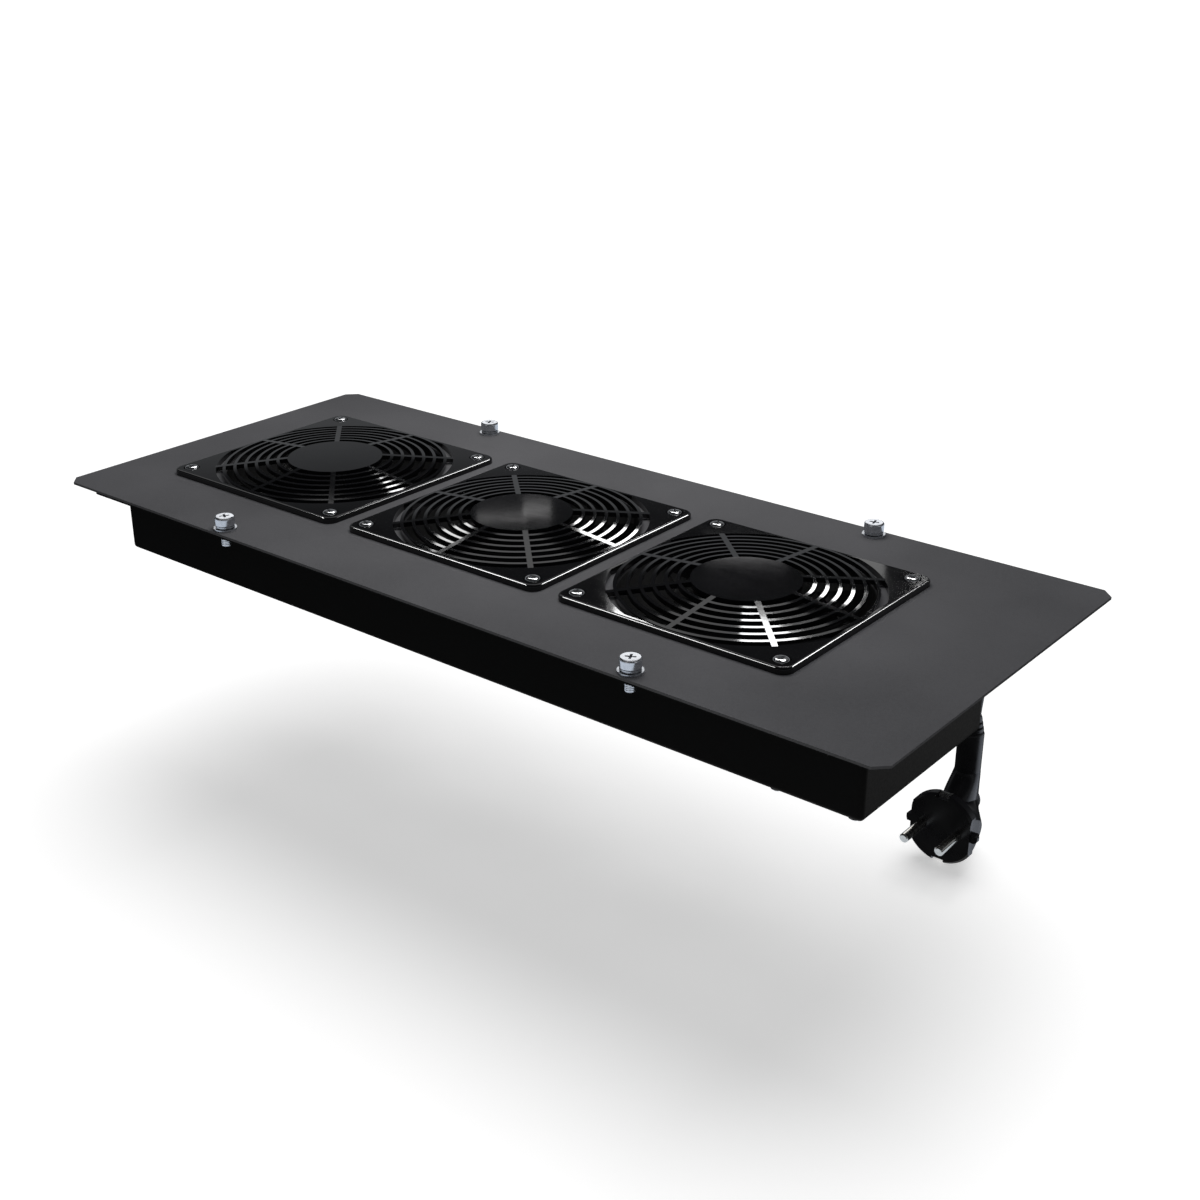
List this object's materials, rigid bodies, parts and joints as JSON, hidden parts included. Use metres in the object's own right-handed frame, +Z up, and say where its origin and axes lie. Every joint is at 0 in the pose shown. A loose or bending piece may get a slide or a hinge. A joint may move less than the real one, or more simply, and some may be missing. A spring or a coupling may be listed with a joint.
{
  "type": "rack fan tray",
  "caption": "Flat steel closing plate for a cabinet with a row of axial fans in a shallow folded housing, domed finger guards, corner screws and a short corded mains plug.",
  "frame": {"origin": "centre of the rectangle of four mounting screws, on the underside of the housing's flange where the tray seats on the cabinet", "axes": "+X along the plate to the end with the wiring compartment, +Y to the back edge, behind which the cord hangs, +Z up, the way the fans blow"},
  "size_m": [0.48, 0.2217, 0.1665],
  "materials": {
    "plate_paint": "fine-textured dark grey powder coat",
    "housing_paint": "satin black powder coat",
    "cover_paint": "satin black powder coat",
    "zinc_screw": "bright zinc plate",
    "zinc_washer": "bright zinc plate",
    "plated_screw": "bright nickel plate",
    "plated_nut": "zinc plate",
    "guard_plastic": "glossy black moulding",
    "fan_casting": "black painted die casting",
    "impeller_plastic": "matt black moulding",
    "electrical_steel": "stamped laminations",
    "winding": "varnished copper wire",
    "bearing_steel": "ground steel",
    "connector_plastic": "black nylon",
    "lead_sheath": "black flexible sheath",
    "terminal_plastic": "natural nylon",
    "tinned_lug": "tinned copper",
    "core_insulation": "coloured insulation: brown, blue, and green with yellow",
    "clip_plastic": "black nylon",
    "bushing_plastic": "black nylon",
    "cord_sheath": "black flexible sheath",
    "plug_plastic": "black moulded plug",
    "pin_nickel": "nickel-plated brass",
    "earth_spring": "plated spring strip"
  },
  "bodies": {
    "tray": {"bearings_1": "bearing_steel", "bearings_2": "bearing_steel", "bearings_3": "bearing_steel", "cover_screws": "plated_screw", "earth_lug": "tinned_lug", "fan_frame_1": "fan_casting", "fan_frame_2": "fan_casting", "fan_frame_3": "fan_casting", "fan_lead_1": "lead_sheath", "fan_lead_2": "lead_sheath", "fan_lead_3": "lead_sheath", "fan_plug_1": "connector_plastic", "fan_plug_2": "connector_plastic", "fan_plug_3": "connector_plastic", "flat_washers": "zinc_washer", "guard_1": "guard_plastic", "guard_2": "guard_plastic", "guard_3": "guard_plastic", "guard_nuts": "plated_nut", "guard_screws": "plated_screw", "housing": "housing_paint", "lead_clips": "clip_plastic", "mains_cores": "core_insulation", "motor_base_1": "fan_casting", "motor_base_2": "fan_casting", "motor_base_3": "fan_casting", "motor_coils_1": "winding", "motor_coils_2": "winding", "motor_coils_3": "winding", "mounting_screws": "zinc_screw", "plug_body": "plug_plastic", "plug_earth_clips": "earth_spring", "plug_neck": "plug_plastic", "plug_pins": "pin_nickel", "power_cord": "cord_sheath", "spring_washers": "zinc_washer", "stator_1": "electrical_steel", "stator_2": "electrical_steel", "stator_3": "electrical_steel", "strain_relief": "bushing_plastic", "stud_nuts": "plated_nut", "terminal_block": "terminal_plastic", "terminal_screws": "plated_screw", "top_plate": "plate_paint", "weld_studs": "plated_nut", "wiring_cover": "cover_paint"},
    "fan_rotor_1": {"impeller_1": "impeller_plastic", "rotor_ring_1": "electrical_steel", "rotor_shaft_1": "bearing_steel"},
    "fan_rotor_2": {"impeller_2": "impeller_plastic", "rotor_ring_2": "electrical_steel", "rotor_shaft_2": "bearing_steel"},
    "fan_rotor_3": {"impeller_3": "impeller_plastic", "rotor_ring_3": "electrical_steel", "rotor_shaft_3": "bearing_steel"}
  },
  "joints": [
    {"name": "fan_spin_1", "type": "hinge", "parent": "tray", "child": "fan_rotor_1", "pos_m": [-0.1465, 0, -0.0178], "axis": [0, 0, 1], "continuous": true},
    {"name": "fan_spin_2", "type": "hinge", "parent": "tray", "child": "fan_rotor_2", "pos_m": [-0.0165, 0, -0.0178], "axis": [0, 0, 1], "continuous": true},
    {"name": "fan_spin_3", "type": "hinge", "parent": "tray", "child": "fan_rotor_3", "pos_m": [0.1135, 0, -0.0178], "axis": [0, 0, 1], "continuous": true}
  ]
}
